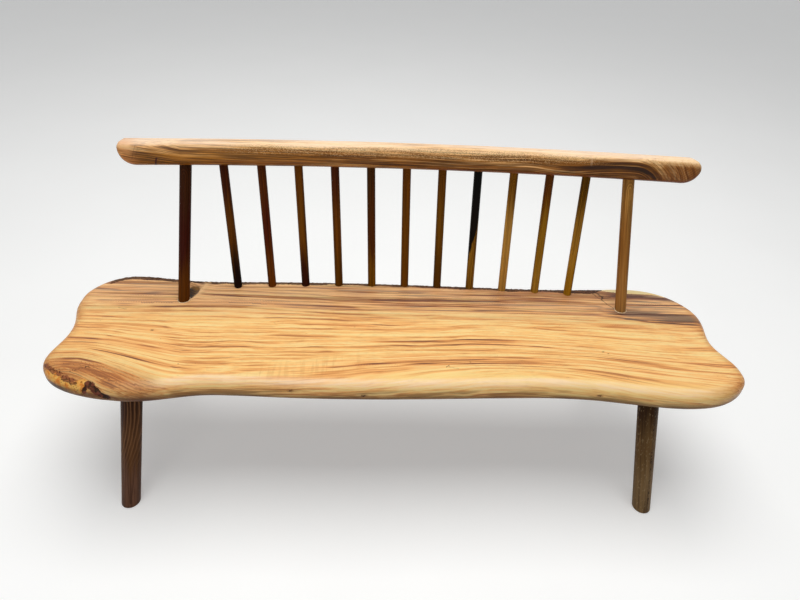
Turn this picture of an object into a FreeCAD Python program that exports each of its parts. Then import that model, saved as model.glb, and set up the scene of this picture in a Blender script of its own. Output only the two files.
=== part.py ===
import FreeCAD, Part
import os
import Sketcher

# Live-edge plank bench with a leaning spindle back and four splayed legs.
# Millimetres and degrees. +Z is up, +X runs along the seat, the front faces -Y,
# and the origin lies on the floor, midway between the four feet.

LENGTHS = {
    # Seat plank
    "seat_length": 1800,
    "seat_depth": 480,
    "seat_thickness": 58,
    "seat_height": 440,
    "seat_forward": 18,
    "seat_top_round": 24,
    "seat_under_round": 20,
    # Leaning back: round spindles between two thicker end posts
    "spindle_diameter": 23,
    "spindle_setback": 29,
    "spindle_slant": 8,
    "post_diameter": 31,
    "post_inset": 271,
    "post_setback": 127,
    "post_lean_in": 35,
    "post_gap": 104,
    "back_rise": 354,
    "back_radius": 4800,
    "back_shift": 21,
    "dowel_chamfer": 2,
    # Crest rail along the top of the back
    "crest_inset": 143,
    "crest_shift": 5,
    "crest_depth": 62,
    "crest_height": 64,
    "crest_edge_round": 20,
    "crest_end_upper_round": 20,
    "crest_end_lower_round": 42,
    # Legs, each with a shoulder flush under the seat and a round tenon above it
    "foot_inset": 176,
    "foot_flare": 22,
    "leg_shift": -9,
    "leg_foot_diameter": 49,
    "leg_top_diameter": 54,
    "leg_tenon_diameter": 36,
    "leg_tenon_length": 36,
    "tenon_chamfer": 2,
    "foot_ease": 3,
    # Sockets bored for the dowels and tenons, and the overrun of every cutter
    "seat_socket_depth": 32,
    "crest_socket_depth": 30,
    "socket_relief": 2,
    "glue_gap": 0.15,
    "cutter_overrun": 40,
}

ANGLES = {
    "back_lean_angle": 8.7,
    "leg_splay_angle": 8.2,
    "leg_rake_angle": 13.5,
}

SPINDLE_COUNT = 11

# Poles of the plank's waney outline, as shares of its length and of its depth.
# They run up the left end, along the back edge, down the right end and back along
# the front. Three poles in a row on a half share make the outline touch each end.
SEAT_OUTLINE_SHARES = [
    (-0.504, -0.292), (-0.483, -0.108), (-0.487, 0.046), (-0.500, 0.156),
    (-0.500, 0.233), (-0.500, 0.313), (-0.476, 0.446), (-0.436, 0.513),
    (-0.376, 0.479), (-0.309, 0.450), (-0.199, 0.479), (0.030, 0.481),
    (0.268, 0.450), (0.364, 0.484), (0.424, 0.480), (0.469, 0.380),
    (0.495, 0.208), (0.484, 0.042), (0.479, -0.073), (0.500, -0.219),
    (0.500, -0.292), (0.500, -0.358), (0.465, -0.463), (0.412, -0.500),
    (0.331, -0.466), (0.243, -0.412), (0.055, -0.450), (-0.110, -0.465),
    (-0.221, -0.446), (-0.282, -0.442), (-0.348, -0.515), (-0.420, -0.483),
    (-0.476, -0.418),
]

doc = FreeCAD.newDocument("plank_bench")
origin = FreeCAD.Vector(0, 0, 0)


def make_sheet(values):
    """Fill the sheet of driving dimensions, one named cell to a row."""
    sheet = doc.addObject("Spreadsheet::Sheet", "Sizes")
    for row, (name, value) in enumerate(values.items(), start=1):
        sheet.set(f"A{row}", name)
        sheet.set(f"B{row}", str(value))
        sheet.setAlias(f"B{row}", name)
    doc.recompute()
    return sheet


def bind(item, **expressions):
    """Tie properties of an object to expressions; a double underscore is a dot."""
    for path, expression in expressions.items():
        item.setExpression(path.replace("__", "."), expression)
    return item


def placed(x, y, z, turn="0", tilt="0"):
    """Placement at a point, its Z axis tilted towards its X axis, then turned."""
    return f"placement(vector({x}; {y}; {z}); rotation({turn}; {tilt}; 0))"


def slid(name, shift, turn="0"):
    """Placement of a named object, slid along its own axis and turned about it."""
    return f"{name}.Placement * placement(vector(0; 0; {shift}); rotation({turn}; 0; 0))"


def new_sketch(body, name, role="XY_Plane"):
    """Empty sketch on one of the body's own origin planes."""
    sketch = body.newObject("Sketcher::SketchObject", name)
    plane = [item for item in body.Origin.OriginFeatures if item.Role == role][0]
    sketch.AttachmentSupport = [(plane, "")]
    sketch.MapMode = "FlatFace"
    return sketch


def dimension(sketch, name, expression, kind, *where):
    """Add a named dimension to a sketch and tie it to an expression."""
    index = sketch.addConstraint(Sketcher.Constraint(kind, *where))
    sketch.renameConstraint(index, name)
    sketch.setExpression(f"Constraints.{name}", expression)


def edges_where(shape, wanted):
    """Names of the edges whose bounding box passes a test."""
    numbered = enumerate(shape.Edges, start=1)
    return [f"Edge{number}" for number, edge in numbered if wanted(edge.BoundBox)]


def round_edges(body, base, name, size, wanted, kind="Fillet"):
    """Fillet or chamfer the edges of a feature that pass a test."""
    doc.recompute()
    feature = body.newObject(f"PartDesign::{kind}", name)
    feature.Base = (base, edges_where(base.Shape, wanted))
    return bind(feature, **{"Radius" if kind == "Fillet" else "Size": size})


def same(first, second):
    """Whether two coordinates of one model are the same point."""
    return abs(first - second) < doc_step


def flat_at(height):
    """Test for an edge that lies level at a height."""
    return lambda box: same(box.ZMin, height) and same(box.ZMax, height)


sheet = make_sheet({**LENGTHS, **ANGLES})
# Two edges closer than this share of the glue gap count as one place
same_place_share = 0.01
doc_step = same_place_share * sheet.glue_gap


def waney_outline(body):
    """Closed spline through the plank's live edge, each pole tied to the sheet."""
    sketch = new_sketch(body, "waney_outline")
    poles = [FreeCAD.Vector(along * sheet.seat_length, across * sheet.seat_depth, 0)
             for along, across in SEAT_OUTLINE_SHARES]
    curve = Part.BSplineCurve()
    curve.buildFromPoles(poles, True, 3)
    outline = sketch.addGeometry(curve, False)
    marks = [sketch.addGeometry(Part.Circle(pole, FreeCAD.Vector(0, 0, 1), sheet.seat_thickness), True)
             for pole in poles]
    align = "InternalAlignment:Sketcher::BSplineControlPoint"
    for number, mark in enumerate(marks):
        sketch.addConstraint(Sketcher.Constraint(align, mark, 3, outline, number))
    sketch.addConstraint(Sketcher.Constraint("Weight", marks[0], 1.0))
    for mark in marks[1:]:
        sketch.addConstraint(Sketcher.Constraint("Equal", marks[0], mark))
    for mark, pole, (along, across) in zip(marks, poles, SEAT_OUTLINE_SHARES):
        dimension(sketch, f"along_{mark}", f"Sizes.seat_length * {along}",
                  "DistanceX", -1, 1, mark, 3, pole.x)
        dimension(sketch, f"across_{mark}", f"Sizes.seat_depth * {across}",
                  "DistanceY", -1, 1, mark, 3, pole.y)
    return sketch


def make_seat():
    """Plank with a waney outline and rolled-over edges, its top at the seat height."""
    body = doc.addObject("PartDesign::Body", "seat_plank")
    plank = body.newObject("PartDesign::Pad", "seat_pad")
    plank.Profile = waney_outline(body)
    bind(plank, Length="Sizes.seat_thickness")
    top = round_edges(body, plank, "seat_top_roll", "Sizes.seat_top_round",
                      flat_at(sheet.seat_thickness))
    round_edges(body, top, "seat_under_roll", "Sizes.seat_under_round", flat_at(0))
    bind(body, Placement=placed("0", "-Sizes.seat_forward", "Sizes.seat_height - Sizes.seat_thickness"))
    return body


# Lines that follow the plank: its nominal back edge, and the uprights' places on it
SEAT_BACK = "(Sizes.seat_depth / 2 - Sizes.seat_forward)"
SPINDLE_LINE = f"({SEAT_BACK} - Sizes.spindle_setback)"
POST_LINE = f"({SEAT_BACK} - Sizes.post_setback)"
POST_SPREAD = "(Sizes.seat_length / 2 - Sizes.post_inset)"
POST_TOP_SPREAD = f"({POST_SPREAD} - Sizes.post_lean_in)"
SPINDLE_PITCH = f"(({POST_TOP_SPREAD} - Sizes.post_gap) / {(SPINDLE_COUNT - 1) / 2})"
HALF_CREST = "(Sizes.seat_length / 2 - Sizes.crest_inset)"

# Middle of the crest rail's underside, straight up the leaning back from the seat
CREST_X = "(Sizes.back_shift + Sizes.crest_shift)"
CREST_Y = f"({SPINDLE_LINE} + Sizes.back_rise * tan(Sizes.back_lean_angle))"
CREST_Z = "(Sizes.seat_height + Sizes.back_rise)"


def bow_at(offset):
    """How far the bowed rail has come forward at an offset from its middle."""
    return f"(Sizes.back_radius - sqrt(Sizes.back_radius^2 - ({offset})^2))"


def make_crest():
    """Rail bowed to the back's radius, standing square to the leaning spindles."""
    body = doc.addObject("PartDesign::Body", "crest_bar")
    sketch = new_sketch(body, "crest_plan")
    half = sheet.seat_length / 2 - sheet.crest_inset
    centre = FreeCAD.Vector(0, -sheet.back_radius, 0)
    normal = FreeCAD.Vector(0, 0, 1)
    rims = []
    ends = []
    for sign in (1, -1):
        radius = sheet.back_radius + sign * sheet.crest_depth / 2
        drop = (radius**2 - half**2) ** 0.5 - sheet.back_radius
        right = FreeCAD.Vector(half, drop, 0)
        left = FreeCAD.Vector(-half, drop, 0)
        angles = [(point - centre).getAngle(FreeCAD.Vector(1, 0, 0)) for point in (right, left)]
        rims.append(sketch.addGeometry(Part.ArcOfCircle(Part.Circle(centre, normal, radius), *angles)))
        ends.append((right, left))
    rear, front = rims
    for side in (0, 1):
        sketch.addGeometry(Part.LineSegment(ends[0][side], ends[1][side]))
    right_end, left_end = rear + 2, rear + 3
    for line, point in ((right_end, 1), (left_end, 2)):
        sketch.addConstraint(Sketcher.Constraint("Coincident", line, 1, rear, point))
        sketch.addConstraint(Sketcher.Constraint("Coincident", line, 2, front, point))
        sketch.addConstraint(Sketcher.Constraint("Vertical", line))
    sketch.addConstraint(Sketcher.Constraint("Coincident", rear, 3, front, 3))
    sketch.addConstraint(Sketcher.Constraint("PointOnObject", rear, 3, -2))
    dimension(sketch, "centre_back", "-Sizes.back_radius", "DistanceY", -1, 1, rear, 3, centre.y)
    dimension(sketch, "front_radius", "Sizes.back_radius - Sizes.crest_depth / 2",
              "Radius", front, sheet.back_radius - sheet.crest_depth / 2)
    dimension(sketch, "rear_radius", "Sizes.back_radius + Sizes.crest_depth / 2",
              "Radius", rear, sheet.back_radius + sheet.crest_depth / 2)
    dimension(sketch, "right_reach", HALF_CREST, "DistanceX", -1, 1, right_end, 1, half)
    dimension(sketch, "left_reach", f"-{HALF_CREST}", "DistanceX", -1, 1, left_end, 1, -half)
    bar = body.newObject("PartDesign::Pad", "crest_pad")
    bar.Profile = sketch
    bind(bar, Length="Sizes.crest_height")

    def end_edge_at(height):
        return lambda box: flat_at(height)(box) and same(box.XMin, box.XMax)

    lower = round_edges(body, bar, "crest_lower_corners", "Sizes.crest_end_lower_round", end_edge_at(0))
    upper = round_edges(body, lower, "crest_upper_corners", "Sizes.crest_end_upper_round",
                        end_edge_at(sheet.crest_height))
    round_edges(body, upper, "crest_edges", "Sizes.crest_edge_round",
                lambda box: box.XLength > half)
    bind(body, Placement=f"placement(vector({CREST_X}; {CREST_Y}; {CREST_Z}); "
                         "rotation(0; 0; -Sizes.back_lean_angle))")
    return body


def make_dowel(name, diameter, foot_x, foot_y, top_x):
    """Straight round bar from inside the seat to inside the crest rail.

    Its own origin is where its axis leaves the seat's top, and its length is what
    shows between there and the rail's underside.
    """
    bow = bow_at(f"{top_x} - {CREST_X}")
    run_x = f"({top_x} - {foot_x})"
    run_y = f"({CREST_Y} - {bow} * cos(Sizes.back_lean_angle) - {foot_y})"
    run_z = f"(Sizes.back_rise + {bow} * sin(Sizes.back_lean_angle))"
    length = f"sqrt({run_x}^2 + {run_y}^2 + {run_z}^2)"
    body = doc.addObject("PartDesign::Body", name)
    sketch = new_sketch(body, f"{name}_section")
    bind(sketch, AttachmentOffset__Base__z="-Sizes.seat_socket_depth")
    radius = sheet.get(diameter) / 2
    ring = sketch.addGeometry(Part.Circle(origin, FreeCAD.Vector(0, 0, 1), radius))
    sketch.addConstraint(Sketcher.Constraint("Coincident", ring, 3, -1, 1))
    dimension(sketch, "section_radius", f"Sizes.{diameter} / 2", "Radius", ring, radius)
    bar = body.newObject("PartDesign::Pad", f"{name}_bar")
    bar.Profile = sketch
    bind(bar, Length=f"Sizes.seat_socket_depth + {length} + Sizes.crest_socket_depth")
    round_edges(body, bar, f"{name}_ends", "Sizes.dowel_chamfer",
                lambda box: same(box.ZMin, box.ZMax), kind="Chamfer")
    bind(body, Placement=placed(foot_x, foot_y, "Sizes.seat_height", f"atan2({run_y}; {run_x})",
                                f"atan(sqrt({run_x}^2 + {run_y}^2) / {run_z})"))
    return {"name": name, "diameter": diameter, "length": length}


def make_spindles():
    """Evenly spaced spindles on a bowed line, all leaning back and aside alike."""
    spindles = []
    for number in range(SPINDLE_COUNT):
        foot_x = f"(Sizes.back_shift + {number - (SPINDLE_COUNT - 1) / 2} * {SPINDLE_PITCH})"
        top_x = f"({foot_x} - Sizes.spindle_slant)"
        bow = bow_at(f"{top_x} - {CREST_X}")
        foot_y = f"({SPINDLE_LINE} - {bow} / cos(Sizes.back_lean_angle))"
        spindles.append(make_dowel(f"spindle_{number + 1:02d}", "spindle_diameter", foot_x, foot_y, top_x))
    return spindles


def make_posts():
    """End posts set forward and outward of the spindles, leaning in to the rail."""
    return [make_dowel(name, "post_diameter",
                       f"(Sizes.back_shift + {side} * {POST_SPREAD})", POST_LINE,
                       f"(Sizes.back_shift + {side} * {POST_TOP_SPREAD})")
            for name, side in (("left_post", -1), ("right_post", 1))]


# How far a leg is tilted from upright when its splay and its rake are combined
LEG_TILT = "atan(sqrt(tan(Sizes.leg_splay_angle)^2 + tan(Sizes.leg_rake_angle)^2))"
SHOULDER = f"((Sizes.seat_height - Sizes.seat_thickness) / cos({LEG_TILT}))"
FOOT_SPREAD = "(Sizes.seat_length / 2 - Sizes.foot_inset)"
FOOT_REACH = "(Sizes.seat_depth / 2 + Sizes.foot_flare)"


def make_trim():
    """Block between the floor and the seat's underside, which trims every leg."""
    block = doc.addObject("Part::Box", "leg_room")
    bind(block,
         Length="Sizes.seat_length",
         Width=f"2 * {FOOT_REACH} + 2 * Sizes.leg_foot_diameter",
         Height="Sizes.seat_height - Sizes.seat_thickness",
         Placement=placed("-Sizes.seat_length / 2", f"-{FOOT_REACH} - Sizes.leg_foot_diameter", "0"))
    return block


def make_leg(name, side, end, trim):
    """Tapered leg set at a compound angle, cut flat at the floor and the seat."""
    turn = f"atan2({-end} * tan(Sizes.leg_rake_angle); {-side} * tan(Sizes.leg_splay_angle))"
    axis = doc.addObject("Part::Cylinder", f"{name}_tenon")
    bind(axis, Radius="Sizes.leg_tenon_diameter / 2",
         Height=f"{SHOULDER} + Sizes.leg_tenon_length - Sizes.leg_foot_diameter",
         Placement=placed(f"Sizes.leg_shift + {side} * {FOOT_SPREAD}", f"{end} * {FOOT_REACH}",
                          "0", turn, LEG_TILT)
         + " * placement(vector(0; 0; Sizes.leg_foot_diameter); rotation(0; 0; 0))")
    taper = doc.addObject("Part::Cone", f"{name}_taper")
    bind(taper, Radius1="Sizes.leg_foot_diameter / 2", Radius2="Sizes.leg_top_diameter / 2",
         Height=f"{SHOULDER} + 2 * Sizes.cutter_overrun",
         Placement=slid(axis.Name, "-Sizes.leg_foot_diameter - Sizes.cutter_overrun"))
    trimmed = doc.addObject("Part::Common", f"{name}_trimmed")
    trimmed.Base = taper
    trimmed.Tool = trim
    joined = doc.addObject("Part::Fuse", f"{name}_joined")
    joined.Base = trimmed
    joined.Tool = axis
    body = doc.addObject("PartDesign::Body", name)
    body.BaseFeature = joined
    doc.recompute()
    foot = round_edges(body, body.Group[0], f"{name}_foot_ease", "Sizes.foot_ease", flat_at(0))
    tip = sheet.seat_height - sheet.seat_thickness + sheet.leg_tenon_length / 2
    round_edges(body, foot, f"{name}_tenon_tip", "Sizes.tenon_chamfer",
                lambda box: box.ZMin > tip, kind="Chamfer")
    return {"name": name, "axis": axis.Name}


def make_legs():
    """Four legs that splay outwards and rake to the front and the rear."""
    trim = make_trim()
    corners = (("leg_front_left", -1, -1), ("leg_front_right", 1, -1),
               ("leg_rear_left", -1, 1), ("leg_rear_right", 1, 1))
    return [make_leg(name, side, end, trim) for name, side, end in corners]


# Quarter turn that keeps the seam of the rail's drills clear of its bowed edges
SEAM_ASIDE = "90"


def socket_drill(name, diameter, along, shift, height, turn="0"):
    """Drill for one socket, on a named axis: the dowel's size and the glue gap round it."""
    drill = doc.addObject("Part::Cylinder", name)
    return bind(drill, Radius=f"Sizes.{diameter} / 2 + Sizes.glue_gap", Height=height,
                Placement=slid(along, shift, turn))


def bored(name, blank, drills):
    """The blank with its sockets bored, each one checked to be empty."""
    group = doc.addObject("Part::MultiFuse", f"{name}_drills")
    group.Shapes = drills
    cut = doc.addObject("Part::Cut", name)
    cut.Base = blank
    cut.Tool = group
    doc.recompute()
    filled = [drill.Name for drill in drills if cut.Shape.common(drill.Shape).Volume > doc_step]
    if filled:
        raise RuntimeError(f"sockets that were not bored: {filled}")
    return cut


def make_sockets(seat, crest, dowels, legs):
    """Bore the seat for dowels and legs, and the crest rail for the dowels."""
    seat_drills = []
    crest_drills = []
    for dowel in dowels:
        name = dowel["name"]
        seat_drills.append(socket_drill(
            f"{name}_seat_drill", dowel["diameter"], name,
            "-Sizes.seat_socket_depth - Sizes.socket_relief",
            "Sizes.seat_socket_depth + Sizes.socket_relief + Sizes.cutter_overrun"))
        crest_drills.append(socket_drill(
            f"{name}_crest_drill", dowel["diameter"], name,
            f"{dowel['length']} - Sizes.cutter_overrun",
            "Sizes.cutter_overrun + Sizes.crest_socket_depth + Sizes.socket_relief",
            SEAM_ASIDE))
    for leg in legs:
        reach = f"{SHOULDER} - Sizes.leg_foot_diameter"
        seat_drills.append(socket_drill(
            f"{leg['name']}_drill", "leg_tenon_diameter", leg["axis"],
            f"{reach} - Sizes.cutter_overrun",
            "Sizes.cutter_overrun + Sizes.leg_tenon_length + Sizes.socket_relief"))
    return bored("seat_slab", seat, seat_drills), bored("crest_rail", crest, crest_drills)


def check_and_write(names):
    """Stop at any failed object or shape, then write one file to each piece."""
    doc.recompute()
    failed = [item.Name for item in doc.Objects if {"Invalid", "Error"} & set(item.State)]
    if failed:
        raise RuntimeError(f"objects that failed: {failed}")
    os.makedirs("parts", exist_ok=True)
    for name in names:
        piece = doc.getObject(name)
        piece.Label = name
        shape = piece.Shape
        if shape.isNull() or not shape.isValid() or len(shape.Solids) != 1:
            raise RuntimeError(f"{name} is not one valid solid")
        shape.exportStep(f"parts/{name}.step")
        print(f"{name}: {shape.Volume / 1000:.1f} cm3")


seat_plank = make_seat()
crest_bar = make_crest()
back_dowels = make_posts() + make_spindles()
bench_legs = make_legs()
seat_slab, crest_rail = make_sockets(seat_plank, crest_bar, back_dowels, bench_legs)
check_and_write([seat_slab.Name, crest_rail.Name]
                + [dowel["name"] for dowel in back_dowels]
                + [leg["name"] for leg in bench_legs])
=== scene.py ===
import math

import bpy
import numpy as np
from mathutils import Matrix, Vector, geometry, noise


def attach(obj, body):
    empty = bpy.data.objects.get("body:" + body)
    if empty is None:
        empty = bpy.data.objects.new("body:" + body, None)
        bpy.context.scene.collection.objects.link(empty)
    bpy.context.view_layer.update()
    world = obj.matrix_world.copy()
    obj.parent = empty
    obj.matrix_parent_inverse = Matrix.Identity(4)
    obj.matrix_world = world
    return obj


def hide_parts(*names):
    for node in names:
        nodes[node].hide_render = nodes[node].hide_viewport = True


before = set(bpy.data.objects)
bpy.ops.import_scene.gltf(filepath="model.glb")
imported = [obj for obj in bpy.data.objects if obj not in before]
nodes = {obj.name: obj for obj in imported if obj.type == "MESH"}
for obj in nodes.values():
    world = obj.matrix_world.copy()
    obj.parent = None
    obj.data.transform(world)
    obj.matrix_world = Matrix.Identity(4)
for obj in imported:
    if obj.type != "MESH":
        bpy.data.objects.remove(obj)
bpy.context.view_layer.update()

# Live-edge plank bench. Metres; +X runs along the seat, the front faces -Y, +Z is up.
scene = bpy.context.scene


def srgb(red, green, blue):
    """Colour for a shader, from the 0 to 255 values that a screen would show."""
    shares = [value / 255 for value in (red, green, blue)]
    return [((s + 0.055) / 1.055) ** 2.4 if s > 0.04 else s / 12.92 for s in shares] + [1.0]


def bell(x, y, middle, reach):
    """Smooth hump, 1 at its middle, that fades over its reach along and across."""
    return np.exp(-((x - middle[0]) / reach[0]) ** 2 - ((y - middle[1]) / reach[1]) ** 2)


def ease(value, low, high):
    """Smooth step from 0 at low to 1 at high."""
    share = np.clip((value - low) / (high - low), 0, 1)
    return share * share * (3 - 2 * share)


def lumps(points, size, seed):
    """Smooth random swell of about -1 to 1 at each point, with lumps of a given size."""
    shift = Vector((seed * 17.3, seed * 5.1, seed * 9.7))
    return np.array([noise.noise(Vector(point) / size + shift) for point in points])


def add_node(tree, kind, inputs=(), **settings):
    """New node in a tree, with its settings and what its inputs are given."""
    made = tree.nodes.new(kind)
    for name, value in settings.items():
        setattr(made, name, value)
    for name, value in dict(inputs).items():
        source = getattr(value, "socket", value)
        if isinstance(source, bpy.types.NodeSocket):
            tree.links.new(source, made.inputs[name])
        else:
            made.inputs[name].default_value = value
    return made


class Value:
    """What a shader node gives out: a number, place or colour to work on further."""

    def __init__(self, socket):
        self.socket = socket

    def node(self, kind, inputs, output=0, **settings):
        made = add_node(self.socket.id_data, f"ShaderNode{kind}", inputs, **settings)
        return Value(made.outputs[output])

    def calc(self, operation, *others, clamp=False):
        return self.node("Math", enumerate((self, *others)), operation=operation, use_clamp=clamp)

    def __add__(self, other):
        return self.calc("ADD", other)

    def __sub__(self, other):
        return self.calc("SUBTRACT", other)

    def __rsub__(self, other):
        return self.node("Math", {0: other, 1: self}, operation="SUBTRACT")

    def __mul__(self, other):
        return self.calc("MULTIPLY", other)

    def __pow__(self, other):
        return self.calc("POWER", other)

    def __abs__(self):
        return self.calc("ABSOLUTE")

    __radd__, __rmul__ = __add__, __mul__

    def fract(self):
        return self.calc("FRACT")

    def sqrt(self):
        return self.calc("SQRT")

    def most(self, other):
        return self.calc("MAXIMUM", other)

    def step(self, low, high, bottom=0.0, top=1.0):
        """Smooth change from bottom to top as this number goes from low to high."""
        return self.node("MapRange", {"Value": self, "From Min": low, "From Max": high,
                                      "To Min": bottom, "To Max": top}, interpolation_type="SMOOTHSTEP")

    def shift(self, operation, other):
        return self.node("VectorMath", {0: self, 1: other}, operation=operation)

    def stretch(self, along, across, depth):
        return self.shift("MULTIPLY", (along, across, depth))

    def dot(self, other):
        return self.node("VectorMath", {0: self, 1: other}, output="Value", operation="DOT_PRODUCT")

    def length(self):
        return self.node("VectorMath", {0: self}, output="Value", operation="LENGTH")

    def parts(self):
        split = add_node(self.socket.id_data, "ShaderNodeSeparateXYZ", {0: self})
        return [Value(socket) for socket in split.outputs]

    def speckle(self, sizes, detail=2.0, roughness=0.5, distortion=0.0):
        """Smooth random pattern over this place, with so many lumps to a metre each way."""
        return self.node("TexNoise", {"Vector": self.stretch(*sizes), "Scale": 1.0, "Detail": detail,
                                      "Roughness": roughness, "Distortion": distortion})

    def blend(self, share, other, mode="MIX"):
        """This colour, changed by a share of another."""
        return self.node("Mix", {0: share, 6: self, 7: other}, output=2, data_type="RGBA", blend_type=mode)

    def dyed(self, share, red, green, blue):
        return self.blend(share, srgb(red, green, blue))

    def pick(self, first, second):
        """Colour between two others, where this number is the share of the second."""
        return self.node("Mix", {0: self, 6: first, 7: second}, output=2, data_type="RGBA")

    def ramp(self, stops):
        """Colour that changes through several stops as this number goes from 0 to 1."""
        made = add_node(self.socket.id_data, "ShaderNodeValToRGB", {"Fac": self})
        band = made.color_ramp.elements
        band[0].position, band[0].color = stops[0]
        band[1].position, band[1].color = stops[-1]
        for position, colour in stops[1:-1]:
            band.new(position).color = colour
        return Value(made.outputs["Color"])


class Finish:
    """A procedural material."""

    def __init__(self, name):
        self.material = bpy.data.materials.new(name)
        self.material.use_nodes = True
        self.tree = self.material.node_tree
        self.tree.nodes.clear()

    def node(self, kind, inputs=(), output=0, **settings):
        return Value(add_node(self.tree, f"ShaderNode{kind}", inputs, **settings).outputs[output])

    def read(self, name, output="Fac"):
        return self.node("Attribute", output=output, attribute_name=name)

    def place(self):
        return self.node("TexCoord", output="Object")

    def close(self, colour, roughness, height, relief, specular=0.5, coat=0.0):
        """Finish with the wood shader: a satin clear coat over the grain."""
        bump = self.node("Bump", {"Height": height, "Distance": relief, "Strength": 1.0})
        shader = self.node("BsdfPrincipled", {
            "Base Color": colour, "Roughness": roughness, "Normal": bump,
            "Specular IOR Level": specular, "Coat Weight": coat, "Coat Roughness": 0.20})
        add_node(self.tree, "ShaderNodeOutputMaterial", {"Surface": shader})
        return self.material


def wood(place, look, heart=0.0, calm=0.0, slant=0.0):
    """Grain of one kind of wood over (along, across, depth), in metres.

    heart adds dark streaks, calm takes the streaks away and slant takes the
    finest lines away. Gives the colour and the height of the grain.
    """
    kept = 1 - slant
    wander = place.speckle((3.0, 8, 8), 1.0)
    ripple = place.speckle((10, 30, 30), 1.0)
    sway = (wander - 0.5) * look["sway"] + (ripple - 0.5) * look["ripple"]
    place = place.shift("ADD", sway.node("CombineXYZ", {1: sway, 2: sway}))
    across = place.parts()[1]

    density = look["density"]
    broad = place.speckle((0.9, 9 * density, 9 * density), 1.0)
    streak = place.speckle((2.2, 66 * density, 66 * density), 3.0, 0.6)
    line = place.speckle((4.0, 180 * density, 180 * density), 2.0, 0.6)
    hair = place.speckle((7.0, 330 * density, 330 * density), 1.0)
    fibre = place.speckle((20, 560, 560), 2.0, 0.6)
    pore = place.speckle((55, 1300, 1300), 0.0)

    # Growth lines: each darkens slowly across the grain and stops short
    swell = place.speckle((0.8, 17, 17), 1.0)
    rings = (across * look["rings"] + swell * 3.2).fract()
    strong = place.speckle((1.4, 15, 15), 1.0).step(0.32, 0.58)
    late = rings ** 3.0 * strong

    figure = (streak.step(0.42, 0.7) * look["streak"] + line.step(0.44, 0.64) * look["line"]
              + hair.step(0.52, 0.66) * look["hair"] * kept + late * look["late"])
    figure = figure * (1 - calm)
    seam = place.speckle((2.0, 115, 115), 3.0, 0.65)
    crisp = (heart + (seam - 0.5) * 2.2).step(0.34, 0.66)
    share = (figure + look["level"] + (broad - 0.5) * look["broad"] + (fibre - 0.5) * 0.12 * kept
             + heart * (seam.step(0.38, 0.6) * 0.4 + 0.2) + heart * crisp * 0.55)
    colour = share.ramp(look["ramp"])
    pores = pore.step(0.64, 0.73)
    colour = colour.blend(pores * 0.2 * kept, look["ramp"][-3][1])
    height = fibre * 0.5 - pores * 0.6
    return colour, height


# Seat plank: its outline's poles as shares of length and depth, as in the solid model
SEAT_LENGTH, SEAT_DEPTH, SEAT_FORWARD = 1.800, 0.480, 0.018
SEAT_TOP, SEAT_UNDER = 0.440, 0.382
SEAT_TOP_ROUND, SEAT_UNDER_ROUND = 0.024, 0.020
SEAT_OUTLINE_SHARES = [
    (-0.504, -0.292), (-0.483, -0.108), (-0.487, 0.046), (-0.500, 0.156),
    (-0.500, 0.233), (-0.500, 0.313), (-0.476, 0.446), (-0.436, 0.513),
    (-0.376, 0.479), (-0.309, 0.450), (-0.199, 0.479), (0.030, 0.481),
    (0.268, 0.450), (0.364, 0.484), (0.424, 0.480), (0.469, 0.380),
    (0.495, 0.208), (0.484, 0.042), (0.479, -0.073), (0.500, -0.219),
    (0.500, -0.292), (0.500, -0.358), (0.465, -0.463), (0.412, -0.500),
    (0.331, -0.466), (0.243, -0.412), (0.055, -0.450), (-0.110, -0.465),
    (-0.221, -0.446), (-0.282, -0.442), (-0.348, -0.515), (-0.420, -0.483),
    (-0.476, -0.418),
]
OUTLINE_STEPS, POLE_STEPS = 1200, 40
TOP_STEPS, UNDER_STEPS = 11, 9


def waney_outline():
    """Evenly spaced points on the plank's live edge, and the way out at each."""
    poles = np.array(SEAT_OUTLINE_SHARES) * (SEAT_LENGTH, SEAT_DEPTH)
    t = np.linspace(0, 1, POLE_STEPS, endpoint=False)[:, None]
    weights = ((1 - t) ** 3 / 6, (3 * t ** 3 - 6 * t ** 2 + 4) / 6,
               (-3 * t ** 3 + 3 * t ** 2 + 3 * t + 1) / 6, t ** 3 / 6)
    count = len(poles)
    spans = [sum(w * poles[(i + k) % count] for k, w in enumerate(weights)) for i in range(count)]
    curve = np.concatenate(spans)
    curve = np.vstack([curve, curve[:1]])
    run = np.concatenate([[0], np.cumsum(np.linalg.norm(np.diff(curve, axis=0), axis=1))])
    wanted = np.linspace(0, run[-1], OUTLINE_STEPS, endpoint=False)
    points = np.stack([np.interp(wanted, run, curve[:, axis]) for axis in (0, 1)], axis=1)
    tangent = np.roll(points, -2, axis=0) - np.roll(points, 2, axis=0)
    tangent /= np.linalg.norm(tangent, axis=1)[:, None]
    # The poles run clockwise seen from above, so the way out is to the left
    outward = np.stack([-tangent[:, 1], tangent[:, 0]], axis=1)
    return points - (0, SEAT_FORWARD), outward


def edge_profile(top_round, under_round):
    """Rolled edge as (inset, height) pairs from the flat top round to the flat underside."""
    profile = []
    for turn in np.linspace(0, math.pi / 2, TOP_STEPS):
        profile.append((top_round * (1 - math.sin(turn)), SEAT_TOP - top_round * (1 - math.cos(turn))))
    wall_top, wall_end = SEAT_TOP - top_round, SEAT_UNDER + under_round
    for share in (1 / 3, 2 / 3):
        profile.append((0.0, wall_top + share * (wall_end - wall_top)))
    for turn in np.linspace(math.pi / 2, 0, UNDER_STEPS):
        profile.append((under_round * (1 - math.sin(turn)), SEAT_UNDER + under_round * (1 - math.cos(turn))))
    return profile


def route(*numbers, axes=3):
    """Points in metres, from their coordinates in millimetres."""
    return np.reshape(numbers, (-1, axes)) / 1000


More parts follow.
